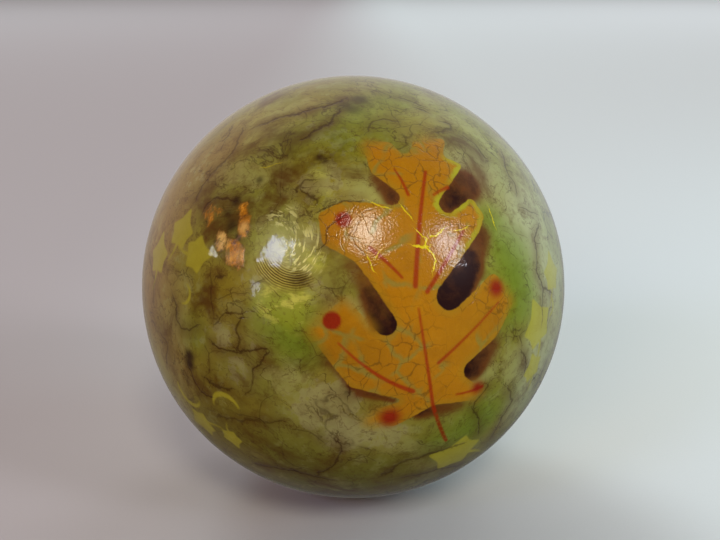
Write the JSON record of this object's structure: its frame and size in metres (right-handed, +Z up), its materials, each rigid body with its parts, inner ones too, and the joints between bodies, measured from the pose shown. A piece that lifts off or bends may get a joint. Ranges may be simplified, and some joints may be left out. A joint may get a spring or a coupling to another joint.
{
  "type": "decorative ball",
  "caption": "Round table ornament: a hard ball gilded with metal leaf, marbled in olive and brown, painted with an autumn oak leaf and gloss varnished, resting on a small flat spot.",
  "frame": {"origin": "middle of the flat spot that the ball rests on", "axes": "+Z up through the ball's centre; -Y is the front, where the large painted leaf is"},
  "size_m": [0.1, 0.1, 0.099],
  "materials": {
    "decorated_surface": "metal leaf under olive and brown glazes with an orange painted leaf, all under clear gloss varnish"
  },
  "bodies": {
    "root": {"ball": "decorated_surface"}
  },
  "joints": []
}
